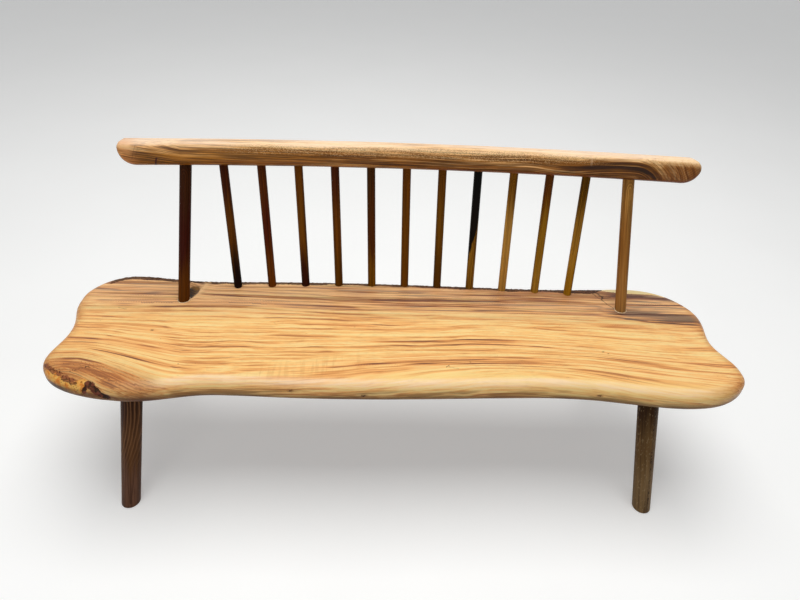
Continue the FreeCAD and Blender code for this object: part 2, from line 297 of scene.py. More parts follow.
def near(points, path, width):
    """1 on a path of points in space, fading to 0 over a width on each side of it."""
    path = [np.array(p, float) for p in path]
    best = np.full(len(points), 9.0)
    for a, b in zip(path, path[1:] or path):
        way = b - a
        share = np.clip((points - a) @ way / max(way @ way, 1e-9), 0, 1)
        best = np.minimum(best, np.linalg.norm(points - a - share[:, None] * way, axis=1))
    return np.exp(-(best / width) ** 2)


def beside_streak(points, path, width):
    """How far points lie to the left of a streak, in its half widths, and its strength there.

    The streak is thinner and fades towards both its ends.
    """
    path = np.array(path, float)
    runs = np.linalg.norm(np.diff(path, axis=0), axis=1)
    best = np.full(len(points), 9.0)
    along = np.zeros(len(points))
    side = np.ones(len(points))
    start = 0.0
    for a, b, run in zip(path, path[1:], runs):
        way = b - a
        share = np.clip((points - a) @ way / (way @ way), 0, 1)
        gap = np.linalg.norm(points - a - share[:, None] * way, axis=1)
        turn = way[0] * (points[:, 1] - a[1]) - way[1] * (points[:, 0] - a[0])
        along = np.where(gap < best, start + share * run, along)
        side = np.where(gap < best, np.sign(turn), side)
        best = np.minimum(best, gap)
        start += run
    taper = ease(np.minimum(along, start - along), 0.0, min(0.09, 0.45 * start))
    return side * best / (width * (0.45 + 0.55 * taper)), taper


def drawn(points, path, width):
    """1 along a streak drawn on a surface, thinner and fading towards both its ends."""
    gap, taper = beside_streak(points, path, width)
    return taper * np.exp(-gap ** 2)


def filled(loop, spacing, fine_spots=()):
    """Points and triangles that fill a closed loop, finer within the named spots.

    Points lie further apart along the grain than across it.
    """
    low, high = loop.min(axis=0), loop.max(axis=0)
    wanted = []
    for (along, across), box in [(spacing, (low[0], low[1], high[0], high[1]))] + list(fine_spots):
        for row, y in enumerate(np.arange(box[1], box[3], across)):
            for x in np.arange(box[0] + (row % 2) * along / 2, box[2], along):
                finer = any(b[0] < x < b[2] and b[1] < y < b[3] for s, b in fine_spots if s[0] < along)
                if not finer:
                    wanted.append((x, y))
    wanted = np.array(wanted)
    inside = np.zeros(len(wanted), bool)
    nearest = np.full(len(wanted), 9.0)
    for a, b in zip(loop, np.roll(loop, -1, axis=0)):
        crosses = (a[1] > wanted[:, 1]) != (b[1] > wanted[:, 1])
        with np.errstate(divide="ignore", invalid="ignore"):
            at = a[0] + (wanted[:, 1] - a[1]) / (b[1] - a[1]) * (b[0] - a[0])
        inside ^= crosses & (wanted[:, 0] < at)
        nearest = np.minimum(nearest, np.hypot(*(wanted - a).T))
    wanted = wanted[inside & (nearest > 0.0026)]
    points = [Vector(p) for p in loop] + [Vector(p) for p in wanted]
    count = len(loop)
    rim = [(i, (i + 1) % count) for i in range(count)]
    made = geometry.delaunay_2d_cdt(points, rim, [list(range(count))], 1, 1e-7)
    return np.array([tuple(p) for p in made[0]]), made[2]


def mesh_piece(name, points, faces):
    """New piece from points and faces, smooth, its normals facing out."""
    mesh = bpy.data.meshes.new(name)
    mesh.from_pydata([tuple(p) for p in points], [], faces)
    mesh.validate()
    mesh.polygons.foreach_set("use_smooth", [True] * len(mesh.polygons))
    piece = bpy.data.objects.new(name, mesh)
    scene.collection.objects.link(piece)
    return piece


def set_attribute(mesh, name, values, kind="FLOAT"):
    """Store one value, or one vector, for every vertex of a mesh."""
    made = mesh.attributes.new(name, kind, "POINT")
    key = "vector" if kind == "FLOAT_VECTOR" else "value"
    made.data.foreach_set(key, np.ascontiguousarray(values, np.float32).ravel())


outline, outward = waney_outline()
BURL_SPOT = (-0.90, -0.30, -0.62, -0.15)
HOLLOW_SPOT = (-0.64, 0.085, -0.53, 0.20)


def seat_points():
    """Points and faces of the whole plank, before wear and hollows."""
    corner = bell(outline[:, 0], outline[:, 1], (-0.80, -0.26), (0.13, 0.09))
    profiles = [edge_profile(SEAT_TOP_ROUND + 0.012 * c, SEAT_UNDER_ROUND - 0.004 * c) for c in corner]
    rings = np.array([[(p[0] - o[0] * inset, p[1] - o[1] * inset, z) for inset, z in profile]
                      for p, o, profile in zip(outline, outward, profiles)])
    rows = rings.shape[1]
    points = [tuple(p) for row in range(rows) for p in rings[:, row]]
    faces = []
    for row in range(rows - 1):
        for i in range(OUTLINE_STEPS):
            j = (i + 1) % OUTLINE_STEPS
            faces.append((row * OUTLINE_STEPS + i, row * OUTLINE_STEPS + j,
                          (row + 1) * OUTLINE_STEPS + j, (row + 1) * OUTLINE_STEPS + i))
    spots = [((0.0030, 0.0025), BURL_SPOT), ((0.0030, 0.0025), HOLLOW_SPOT)]
    for row, height, spacing, fine in ((0, SEAT_TOP, (0.0070, 0.0034), spots),
                                       (rows - 1, SEAT_UNDER, (0.018, 0.012), [])):
        flat, triangles = filled(rings[:, row, :2], spacing, fine)
        start = len(points)
        points += [(x, y, height) for x, y in flat[OUTLINE_STEPS:]]
        for tri in triangles:
            ids = [row * OUTLINE_STEPS + i if i < OUTLINE_STEPS else start + i - OUTLINE_STEPS for i in tri]
            faces.append(ids if height == SEAT_TOP else ids[::-1])
    return np.array(points), faces


def inset_of(points):
    """How far each point lies inside the live edge, seen from above."""
    found = np.full(len(points), 9.0)
    for x, y in outline[::4]:
        found = np.minimum(found, np.hypot(points[:, 0] - x, points[:, 1] - y))
    return found


def beside_ridge(x, y):
    """Distance to the right of the slanting ridge next to the left post."""
    return x + 0.586 - 0.27 * (y - 0.100)


def seat_grain(x, y, z):
    """Coordinates (along, across, depth) that follow the plank's grain."""
    toward_front = np.clip((0.03 - y) / 0.28, 0, 1.05) ** 1.2
    rise = -0.085 * ease(x, -0.83, -0.54) * toward_front
    rise += 0.018 * bell(x, y, (-0.815, -0.20), (0.07, 0.06))
    rise += 0.072 * bell(x, y, (0.30, -0.20), (0.38, 0.10))
    rise -= 0.014 * bell(x, y, (0.80, -0.08), (0.30, 0.12))
    rise += 0.014 * bell(x, y, (-0.50, 0.07), (0.20, 0.05))
    rise += 0.010 * bell(x, y, (0.30, -0.02), (0.20, 0.05))
    across = y - rise
    past = beside_ridge(x, y)
    behind = ease(y, 0.085, 0.110) * np.exp(-(past / 0.030) ** 2)
    across += behind * np.where(past < 0, 0.020, -0.006)
    return x, across + 0.8 * (z - SEAT_TOP), z


FOLLOW_POINTS, FOLLOW_ROUNDS, FOLLOW_PACE = 14, 30, 0.7


def follow(first_x, at, last_x):
    """Points of the line of grain that runs through one point of the seat's top."""
    x = np.linspace(first_x, last_x, FOLLOW_POINTS)
    y = np.full(FOLLOW_POINTS, float(at[1]))
    line = float(seat_grain(np.array([at[0]]), np.array([at[1]]), SEAT_TOP)[1][0])
    for _ in range(FOLLOW_ROUNDS):
        y = y + FOLLOW_PACE * (line - seat_grain(x, y, SEAT_TOP)[1])
    return list(zip(x, y))


# Dark streaks of the heartwood: x and y of the points and the half width, in millimetres, and the strength
STREAKS = [
    ((-960, 146, -840, 136, -710, 124, -620, 129), 7, 0.42),
    ((-840, 168, -740, 166, -620, 170), 5, 0.34),
    ((-940, 107, -760, 98, -620, 104), 5, 0.34),
    ((-920, 84, -700, 83, -600, 86), 4, 0.4),
    ((-860, 67, -650, 64, -550, 70, -340, 68), 9, 0.6),
    ((-500, 72, -330, 57, -200, 47, 40, 32), 6, 0.44),
    ((-600, 128, -470, 117, -370, 104, -180, 92), 5, 0.38),
    ((-580, 112, -460, 98, -300, 84, -120, 78), 5, 0.34),
    ((-600, 154, -380, 141, -200, 128, 80, 122), 5, 0.34),
    ((-360, 164, -120, 158, 140, 160), 4, 0.42),
    ((-360, 80, -100, 78, 160, 90), 5, 0.45),
    ((-200, 110, 100, 118, 360, 118), 7, 0.45),
    ((-60, 140, 160, 144, 400, 152), 5, 0.4),
    ((100, 150, 300, 142, 600, 142), 5, 0.42),
    ((220, 104, 480, 109, 580, 110, 660, 94), 6, 0.46),
    ((140, 78, 340, 78, 560, 69, 720, 40, 920, 24), 5, 0.55),
    ((240, 54, 460, 50, 680, 20), 4, 0.35),
    ((580, 76, 660, 72, 740, 68, 820, 60, 1000, 44), 26, 0.56),
    ((600, 86, 700, 78, 800, 70, 1000, 56), 12, 0.24),
    ((720, 74, 810, 66, 880, 54, 940, 44), 12, 0.7),
    ((580, 172, 680, 167, 760, 163, 820, 147, 880, 120), 11, 0.66),
    ((620, 118, 700, 111, 800, 109, 920, 98), 6, 0.72),
    ((640, 140, 740, 136, 840, 124), 5, 0.62),
    ((420, -20, 580, -20, 660, -24), 8, 0.3),
    ((540, 8, 660, 2, 780, -4), 7, 0.32),
    ((-760, 24, -640, 20, -540, 16), 6, 0.3),
    ((-100, -68, 140, -70, 360, -66), 10, 0.22),
    ((-360, -236, -250, -222, -100, -190, 100, -174), 15, 0.3),
    ((-300, -196, -160, -174, 20, -164), 6, 0.26),
    ((-120, -160, 130, -150, 380, -148), 5, 0.48),
    ((-910, -176, -870, -163, -800, -159, -735, -175, -660, -206, -580, -243), 6, 0.62),
    ((-900, -182, -850, -172, -790, -175, -720, -190, -650, -216, -600, -244), 4, 0.45),
    ((-890, -190, -830, -186, -760, -197, -690, -213, -640, -243, -600, -262), 6, 0.55),
    ((-860, -200, -810, -199, -740, -209, -670, -232, -620, -256), 4, 0.45),
    ((-800, -222, -750, -216, -700, -220, -650, -240, -610, -262), 6, 0.52),
    ((-745, -232, -715, -236, -685, -246, -655, -258), 7, 0.7),
    ((-950, 30, -840, 28, -740, 24), 8, 0.32),
    ((800, 30, 880, -10, 940, -60), 10, 0.25),
]
DARK_STREAKS = [(route(*points, axes=2), width / 1000, amount) for points, width, amount in STREAKS]
# More of them, each along one line of the grain
DARK_STREAKS += [
    (follow(0.24, (0.45, -0.163), 0.9), 0.005, 0.3),
    (follow(0.3, (0.5, -0.14), 0.74), 0.004, 0.24),
    (follow(-0.96, (-0.8, -0.122), -0.4), 0.006, 0.4),
    (follow(-0.95, (-0.84, -0.08), -0.56), 0.007, 0.36),
    (follow(-0.92, (-0.8, -0.048), -0.5), 0.005, 0.32),
]


def seat_marks(points, x, y, z, inset):
    """Share of each special figure at every point of the plank."""
    drop = SEAT_TOP - z
    sideways = lumps(points * (0.3, 1, 1), 0.035, 4)
    flat = np.stack([x, y + 0.0030 * sideways], axis=1)
    dark = 0.20 * ease(y, 0.02, 0.12) + 0.12 * ease(y, 0.05, 0.12) * ease(x, 0.50, 0.70)
    dark += 0.10 * ease(x, 0.60, 0.72) * ease(y, 0.090, 0.125)
    dark += 0.34 * ease(x, 0.56, 0.70) * np.exp(-((y - 0.080 + 0.12 * (x - 0.6)) / 0.038) ** 2)
    beside, strength, shown = np.full(len(x), 3.0), np.zeros(len(x)), np.zeros(len(x))
    for path, width, amount in DARK_STREAKS:
        gap, taper = beside_streak(flat, path, width)
        seen = amount * taper * np.exp(-gap ** 2)
        if width > 0.009:
            dark = np.maximum(dark, seen + 0.7 * dark)
            continue
        stronger = seen > shown
        beside = np.where(stronger, np.clip(gap, -3, 3), beside)
        strength = np.where(stronger, amount * taper * (1 - ease(np.abs(gap), 1.8, 2.8)), strength)
        shown = np.maximum(shown, seen)
    back_side = ease(y, 0.10, 0.16)
    front_side = 1 - ease(y, -0.20, -0.12)
    marks = {"heart": dark, "beside": beside, "strength": strength}
    fan = drawn(flat, route(-900, -190, -740, -205, -640, -235, -540, -268, axes=2), 0.034)
    marks["nose"] = np.maximum(bell(x, y, (-0.835, -0.215), (0.095, 0.060)), 0.95 * fan)
    marks["amber"] = near(points, route(-862, -204, 424, -846, -212, 430, -822, -226, 416,
                                        -785, -238, 413, -764, -239, 426), 0.019)
    marks["blotch"] = near(points, route(-878, -176, 434, -862, -188, 436, -845, -199, 438,
                                         -830, -206, 438, -813, -220, 434, -784, -232, 432), 0.0105)
    island = np.maximum(near(points, route(-724, -244, 435, -708, -247, 433), 0.005),
                        near(points, route(-710, -254, 424, -698, -256, 419), 0.006))
    inner = near(points, route(-749, -235, 437, -757, -243, 427, -763, -246, 408), 0.007)
    outer = near(points, route(-748, -240, 434, -738, -247, 427, -727, -252, 416, -706, -256, 404), 0.0125)
    marks["pocket"] = np.maximum(inner, outer)
    marks["pocket"] = np.clip(marks["pocket"] - 1.5 * island, 0, 1)
    marks["crackle"] = near(points, route(-800, -202, 440, -777, -192, 440, -756, -185, 440), 0.005)
    past = beside_ridge(x, y) + 0.006 * lumps(points, 0.020, 8)
    behind = ease(y, 0.090, 0.112) * (1 - ease(y, 0.140, 0.172)) * ease(z, 0.42, 0.435)
    marks["hollow"] = behind * ease(past, -0.050, -0.022) * (1 - ease(past, -0.012, 0.002))
    ridge = route(-600, 98, -582, 108, -573, 130, -567, 155, -561, 182, axes=2)
    marks["swirl"] = near(flat, ridge, 0.008)
    reach = 0.030 + 0.006 * lumps(points, 0.05, 9)
    reach += 0.005 * ease(x, 0.40, 0.58) + 0.004 * ease(-x, 0.60, 0.72)
    reach -= 0.026 * ease(x, 0.585, 0.665)
    edge = back_side * (1 - ease(inset - reach, -0.006, 0.005))
    marks["bark"] = edge * (1 - ease(x, 0.640, 0.690)) * ease(x, -0.88, -0.80)
    marks["bark"] *= 1 - 0.25 * bell(x, y, (-0.10, 0.19), (0.14, 0.2))
    full = np.exp(-((x - 0.705) / 0.085) ** 2)
    marks["cream"] = back_side * ease(full, 0.10, 0.34) * (1 - ease(inset - 0.022 * full, 0.012, 0.020))
    marks["cream"] *= 1 - ease(drop, 0.016, 0.030)
    # Painted highlight along the front shoulder, over the paler sapwood there
    shoulder = front_side * (1 - ease(inset, 0.020, 0.032)) * (1 - ease(drop, 0.004, 0.015))
    marks["sap"] = shoulder * ease(x, -0.74, -0.56) * (1 - ease(x, 0.70, 0.88))
    band = route(-100, -214, 160, -200, 360, -204, 600, -222, 920, -236, axes=2)
    marks["gold"] = drawn(flat, band, 0.02)
    # Orange-brown wood along the edges at both ends, also painted shade where the edge turns away
    ends = np.maximum(ease(x, 0.74, 0.86), ease(-x, 0.80, 0.88)) * (1 - ease(inset, 0.012, 0.040))
    marks["ends"] = ends * (1 - ease(y, 0.10, 0.16))
    # Painted shade: the front roll darkens lower down, and more under the edge
    marks["lower"] = ease(drop, 0.012, 0.026) * (1 - 0.45 * ease(x, 0.45, 0.65))
    right, left = seat_grain(x + 0.004, y, z)[1], seat_grain(x - 0.004, y, z)[1]
    marks["slant"] = ease(np.abs(right - left) / 0.008, 0.05, 0.14)
    marks["under"] = ease(drop, 0.024, 0.046 - 0.012 * bell(x, y, (-0.78, -0.24), (0.16, 0.12)))
    marks["rosy"] = ease(y, 0.0, 0.12)
    marks["fleece"] = near(flat, route(-340, -200, -240, -180, -120, -150, axes=2), 0.035)
    return marks


def make_seat():
    """The plank, with its burl, bark pocket, hollow and rolled live edge."""
    points, faces = seat_points()
    x, y, z = points.T
    inset = inset_of(points)
    marks = seat_marks(points, x, y, z, inset)
    piece = mesh_piece("seat_plank", points, faces)
    mesh = piece.data
    normals = np.array([tuple(v.normal) for v in mesh.vertices])

    coarse = lumps(points, 0.011, 1)
    small = lumps(points, 0.0045, 2)
    swell = lumps(points, 0.10, 3)
    burl = np.clip(marks["amber"] + marks["blotch"], 0, 1)
    inward = 0.0004 * burl * (1 + coarse) + 0.0007 * marks["blotch"] * (1 + small)
    inward += marks["pocket"] * (0.0030 + 0.0018 * small + 0.0012 * coarse)
    inward += marks["hollow"] * (0.0045 + 0.0010 * coarse)
    inward += marks["bark"] * (0.0008 + 0.0006 * small + 0.0004 * coarse)
    inward += 0.0005 * (1 + swell) * (1 - ease(inset, 0.004, 0.030))
    moved = points - normals * inward[:, None]
    mesh.vertices.foreach_set("co", moved.astype(np.float32).ravel())
    mesh.update()

    set_attribute(mesh, "grain", np.stack(seat_grain(x, y, z), axis=1), "FLOAT_VECTOR")
    for name, values in marks.items():
        set_attribute(mesh, name, values)
    return piece


def stroke(place, start, end, width):
    """Thin dark line on the seat between two points, as a share of 0 to 1."""
    way = Vector(end) - Vector(start)
    from_start = place.shift("SUBTRACT", (*start, 0.0))
    share = from_start.dot((way.x, way.y, 0.0)).calc("DIVIDE", way.length_squared, clamp=True)
    nearest = share.node("VectorMath", {0: (way.x, way.y, 0.0), "Scale": share}, operation="SCALE")
    return from_start.shift("SUBTRACT", nearest).length().step(width, 0.35 * width)


def make_seat_finish():
    """Honey wood with dark heart streaks, pale sapwood under a painted highlight, painted shade under the
    front edge, burl and bark.
    """
    finish = Finish("seat_wood_finish")
    grain = finish.read("grain", "Vector")
    names = ("heart beside strength nose amber blotch pocket crackle hollow swirl bark cream sap gold ends "
             "lower under rosy fleece slant").split()
    mark = {name: finish.read(name) for name in names}
    look = {"ramp": [(0.0, srgb(255, 220, 148)), (0.22, srgb(255, 200, 124)), (0.40, srgb(240, 172, 102)),
                     (0.55, srgb(214, 146, 84)), (0.70, srgb(172, 114, 72)), (0.88, srgb(122, 84, 64)),
                     (1.0, srgb(78, 54, 44))],
            "sway": 0.018, "ripple": 0.005, "density": 1.0, "rings": 70, "streak": 0.32, "line": 0.32,
            "hair": 0.20, "late": 0.36, "level": -0.04, "broad": 0.46}
    calm = mark["sap"] * 0.2 + mark["gold"] * 0.25
    place = finish.place()
    # Narrow streaks, with ragged sides, over the broad ones
    ravel = grain.speckle((6, 150, 150), 2.0, 0.6)
    beside = abs(mark["beside"] + (ravel - 0.5) * 1.1)
    narrow = mark["strength"] * beside.step(1.5, 0.1)
    heart = mark["heart"].most(narrow + mark["heart"] * 0.7)
    colour, height = wood(grain, look, heart, calm, mark["slant"])
    flat = place.stretch(1, 1, 0)
    blot = place.speckle((70, 70, 70), 3.0, 0.62, 0.5)
    fleck = place.speckle((210, 210, 210), 2.0, 0.6)
    strand = grain.speckle((9, 190, 190), 3.0, 0.6)
    ragged = (blot - 0.5) * 1.5 + (strand - 0.5) * 0.8

    # Rosy streaks, strongest towards the back, and a faint cross figure near the front
    blush = grain.speckle((1.4, 30, 30), 2.0, 0.6).step(0.46, 0.62)
    blush = blush * (mark["rosy"] * 0.45 + 0.4)
    colour = colour.blend(blush, (1.0, 0.91, 0.93, 1.0), "MULTIPLY")
    # Towards the back the gaps are paler and fine brown threads run between them
    thread = grain.speckle((1.7, 92, 92), 3.0, 0.6).step(0.49, 0.57)
    colour = colour.dyed(mark["rosy"] * thread.step(0.6, 0.0) * 0.46, 250, 204, 154)
    colour = colour.dyed(mark["rosy"] * thread * 0.58, 134, 90, 70)
    cross = place.speckle((130, 12, 1), 1.0).step(0.5, 0.62)
    colour = colour.dyed(cross * mark["fleece"] * 0.18, 200, 134, 72)

    # Golden band along the front edge, pale sapwood with a painted highlight on its shoulder, orange-brown
    # ends with painted shade at their edges, brown patches and painted shade lower down and under the edge,
    # a cream strip at the back
    colour = colour.dyed(mark["gold"] * 0.45, 255, 220, 138)
    # Pale sapwood and a painted highlight on the front shoulder
    sap = mark["sap"] * strand.step(0.36, 0.62, 0.8, 0.35)
    colour = colour.dyed(sap, 255, 222, 182)
    colour = colour.dyed(mark["ends"] * strand.step(0.34, 0.62, 0.25, 0.7), 206, 134, 66)
    # Brown patches lower down on the front roll, which also paint its shade
    patch = grain.speckle((7, 60, 60), 2.0, 0.6).step(0.44, 0.6, 0.0, 0.75)
    colour = colour.dyed(mark["lower"] * patch, 158, 106, 52)
    # Painted shade under the front edge, made streaky
    below = mark["under"] * strand.step(0.3, 0.65, 0.6, 0.97)
    colour = colour.dyed(below, 92, 56, 26)
    pale = (mark["cream"] + ragged * 0.25).step(0.45, 0.62)
    straw = strand.step(0.38, 0.62).pick(srgb(255, 236, 178), srgb(246, 208, 138))
    colour = colour.blend(pale * 0.96, straw)

    # Burl: an orange nose with contour lines, brown blotches and a bark pocket
    colour = colour.dyed(mark["nose"] * 0.68, 190, 118, 62)
    contour = (grain.parts()[1] * 125 + blot * 1.3).fract()
    contour = contour.step(0.2, 0.95) * mark["nose"] * strand.step(0.34, 0.62, 0.72, 0.15)
    colour = colour.dyed(contour, 122, 70, 44)
    amber = (mark["amber"] + ragged * 0.3).step(0.3, 0.62)
    glow = blot.step(0.38, 0.58).pick(srgb(236, 138, 44), srgb(255, 196, 100))
    colour = colour.blend(amber * 0.92, glow)
    blotch = (mark["blotch"] + ragged * 1.4).step(0.56, 0.7)
    brown = fleck.step(0.4, 0.62).pick(srgb(84, 34, 18), srgb(172, 100, 62))
    colour = colour.blend(blotch * 0.9, brown)
    pocked = (mark["amber"] + mark["blotch"]).step(0.3, 0.8)
    nick = fleck.step(0.59, 0.67) * pocked
    colour = colour.dyed(nick * 0.55, 88, 46, 22)
    crackle = mark["crackle"].step(0.3, 0.8) * fleck.step(0.5, 0.6)
    colour = colour.dyed(crackle * 0.85, 70, 42, 24)
    # Painted shade: a dark line along the underside of the nose
    rim = mark["nose"] * mark["under"] * 0.9
    colour = colour.dyed(rim, 46, 28, 16)

    # Bark in the pocket and along the back edge
    crust = (fleck + (blot - 0.5) * 0.5).step(0.38, 0.66)
    bark_colour = crust.pick(srgb(34, 14, 6), srgb(98, 58, 34))
    flesh = blot.step(0.46, 0.6).pick(srgb(36, 12, 6), srgb(118, 60, 42))
    pocket = (mark["pocket"] + ragged * 0.75).step(0.42, 0.54)
    colour = colour.blend(pocket * 0.97, flesh)
    bark = (mark["bark"] + ragged * 0.5).step(0.42, 0.62)
    colour = colour.blend(bark * 0.92, bark_colour)

    # Hollow beside the left post: dark olive wood with painted shade in its depth and the post's painted
    # shadow next to it, bright where the grain turns up over its rim
    bright = mark["swirl"] * strand.step(0.35, 0.65, 0.92, 0.5)
    colour = colour.dyed(bright, 255, 206, 146)
    deep = (mark["hollow"] + ragged * 0.22).step(0.1, 0.5)
    shade = strand.step(0.4, 0.6).pick(srgb(32, 16, 2), srgb(134, 90, 34))
    colour = colour.blend(deep * 0.94, shade)
    # Painted shadow of the post, darkest next to it
    gap = place.shift("SUBTRACT", (-0.606, 0.118, 0.437)).stretch(1.0, 0.5, 0.5).length()
    colour = colour.dyed(deep * gap.step(0.026, 0.01) * 0.85, 34, 18, 4)

    # Small knots and fine checks
    for x, y, z, size in ((-0.267, -0.237, 0.419, 0.0034), (-0.087, -0.238, 0.407, 0.0046),
                          (-0.655, -0.043, 0.440, 0.0022), (0.504, -0.229, 0.412, 0.0034),
                          (0.183, -0.143, 0.440, 0.0015), (0.545, -0.093, 0.440, 0.0018),
                          (0.557, -0.100, 0.440, 0.0013)):
        gap = place.shift("SUBTRACT", (x, y, z)).stretch(0.6, 1.0, 1.0).length()
        ring = gap + (fleck - 0.5) * (2.2 * size)
        colour = colour.dyed(ring.step(2.2 * size, 1.0 * size, 0.0, 0.4), 150, 94, 50)
        colour = colour.dyed(ring.step(size, 0.45 * size, 0.0, 0.9), 66, 34, 12)
    jitter = finish.node("TexNoise", {"Vector": place, "Scale": 80.0, "Detail": 2.0}, output="Color")
    wavy = flat.shift("ADD", jitter.shift("SUBTRACT", (0.5, 0.5, 0.5)).stretch(0.012, 0.012, 0))
    # The first four strokes lie beside the right post's foot: a check, with painted shadow of the post along
    # it
    for start, end, width, amount in (((0.588, 0.172), (0.634, 0.096), 0.0022, 0.60),
                                      ((0.600, 0.176), (0.614, 0.155), 0.0050, 0.62),
                                      ((0.616, 0.158), (0.609, 0.142), 0.0048, 0.66),
                                      ((0.611, 0.147), (0.636, 0.152), 0.0036, 0.48),
                                      ((0.121, -0.164), (0.127, -0.156), 0.0016, 0.85),
                                      ((0.127, -0.162), (0.150, -0.170), 0.0014, 0.45),
                                      ((-0.776, 0.052), (-0.752, 0.044), 0.0012, 0.50),
                                      ((-0.612, 0.100), (-0.600, 0.095), 0.0016, 0.50)):
        crack = stroke(wavy, start, end, width)
        colour = colour.dyed(crack * amount, 58, 36, 20)

    raw = pocket * 0.3 + bark * 0.2 + blotch * 0.04
    rough = strand.step(0.3, 0.7, 0.3, 0.4).calc("ADD", raw, clamp=True)
    height = height + fleck * raw * 7.0 + blot * (pocked * 0.8)
    return finish.close(colour, rough, height, 0.0004, specular=0.14, coat=0.03)


def fibre_of(place):
    """Fine fibre pattern that varies the sheen along the grain."""
    return place.speckle((9, 160, 160), 2.0)


# Crest rail: sizes and place as in the solid model
RAIL_HALF, RAIL_DEPTH, RAIL_HEIGHT = 0.757, 0.062, 0.064
RAIL_BOW, RAIL_LEAN = 4.8, math.radians(8.7)
RAIL_MIDDLE = (0.026, 0.24717, 0.794)
# Rounds that close its ends from below, in front and behind, and from above at left and right
END_UNDER, END_FRONT, END_BACK, END_LEFT, END_RIGHT = 0.042, 0.012, 0.005, 0.008, 0.018
# Rounds of its four long edges, from the lower rear one on, and the swell of its faces
EDGE_ROUNDS = (0.018, 0.013, 0.017, 0.020)
FACE_SWELL = 0.0012
CORNER_STEPS = 8


def rail_section(left, upper):
    """Outline of the rail's section, as (depth, height), at a distance from its end."""
    def closing(size):
        return size - math.sqrt(max(size ** 2 - max(size - left, 0) ** 2, 0))

    low, high = closing(END_UNDER), RAIL_HEIGHT - closing(upper)
    fore, aft = RAIL_DEPTH / 2 - closing(END_FRONT), RAIL_DEPTH / 2 - closing(END_BACK)
    corners = zip((aft, aft, -fore, -fore), (low, high, high, low), EDGE_ROUNDS)
    turn = 0.0
    outline_points = []
    for depth, height, radius in corners:
        radius = min(radius, 0.49 * (high - low))
        middle_y = depth - math.copysign(radius, depth)
        middle_z = height - radius if height == high else height + radius
        for angle in np.linspace(turn - math.pi / 2, turn, CORNER_STEPS):
            outline_points.append((middle_y + radius * math.cos(angle), middle_z + radius * math.sin(angle)))
        turn += math.pi / 2
    # Each face is slightly crowned
    crowned = []
    for i, (y, z) in enumerate(outline_points):
        crowned.append((y, z))
        if i % CORNER_STEPS == CORNER_STEPS - 1:
            after = outline_points[(i + 1) % len(outline_points)]
            for share in (0.25, 0.5, 0.75):
                swell = FACE_SWELL * math.sin(math.pi * share) * min(1.0, left / 0.03)
                way = (after[1] - z, y - after[0])
                size = math.hypot(*way) or 1.0
                crowned.append((y + (after[0] - y) * share + way[0] / size * swell,
                                z + (after[1] - z) * share + way[1] / size * swell))
    return crowned


def rail_points(stations=420):
    """Points of the straight rail before it is bowed: sections that close in at both ends."""
    # Stations crowd together near the ends
    blend = np.linspace(-1, 1, stations)
    along = RAIL_HALF * (0.70 * blend + 0.30 * np.sin(blend * math.pi / 2))
    along[0], along[-1] = -RAIL_HALF + 0.0002, RAIL_HALF - 0.0002
    sections = [rail_section(RAIL_HALF - abs(x), END_LEFT if x < 0 else END_RIGHT) for x in along]
    return np.array([[(x, y, z) for y, z in section] for x, section in zip(along, sections)])


def make_rail():
    """The crest rail, hand-shaped, with its grain arching over near the right end."""
    local = rail_points()
    stations, around = local.shape[:2]
    flat = local.reshape(-1, 3)
    x, y, z = flat.T
    wear = 0.990 - 0.010 * (1 + lumps(flat, 0.12, 5)) - 0.004 * (1 + lumps(flat, 0.03, 6))
    y = y * wear
    z = RAIL_HEIGHT / 2 + (z - RAIL_HEIGHT / 2) * wear
    # Flat cut across the upper left corner
    cut = np.clip((-x - RAIL_HALF + 0.004) * 0.90 + (z - RAIL_HEIGHT + 0.006) * 0.44, 0, None)
    x = x + cut * 0.90
    z = z - cut * 0.44
    bow = RAIL_BOW - np.sqrt(RAIL_BOW ** 2 - x ** 2)
    share = x / RAIL_HALF
    # The rail is set a little askew: its left end further back than its right
    askew = 0.004 + 0.0045 * share - 0.0075 * share ** 2
    grain = rail_grain(x, y, z)
    back = y - bow - askew
    placed = np.stack([x, back * math.cos(RAIL_LEAN) + z * math.sin(RAIL_LEAN),
                       z * math.cos(RAIL_LEAN) - back * math.sin(RAIL_LEAN)], axis=1) + RAIL_MIDDLE
    faces = []
    for i in range(stations - 1):
        for k in range(around):
            n = (k + 1) % around
            faces.append((i * around + k, i * around + n, (i + 1) * around + n, (i + 1) * around + k))
    faces.append(tuple(range(around))[::-1])
    faces.append(tuple((stations - 1) * around + k for k in range(around)))
    piece = mesh_piece("crest_rail_wood", placed, faces)
    set_attribute(piece.data, "grain", np.stack(grain, axis=1), "FLOAT_VECTOR")
    set_attribute(piece.data, "local", np.stack([x, y, z], axis=1), "FLOAT_VECTOR")
    return piece


def rail_grain(x, y, z):
    """Coordinates that follow the rail's grain, arching near its right end."""
    over = z - 0.45 * y + 0.16 * np.minimum(x + 0.60, 0)
    straight = over + 0.012 * np.sin(2.6 * x + 0.5) - 0.010 * ease(x, 0.1, 0.45)
    side = np.where(x > 0.587, 1.07, 4.0)
    arch = np.hypot((x - 0.587) / side, over + 0.012) - 0.012
    share = ease(x, 0.30, 0.50)
    return x, straight * (1 - share) + arch * share, y


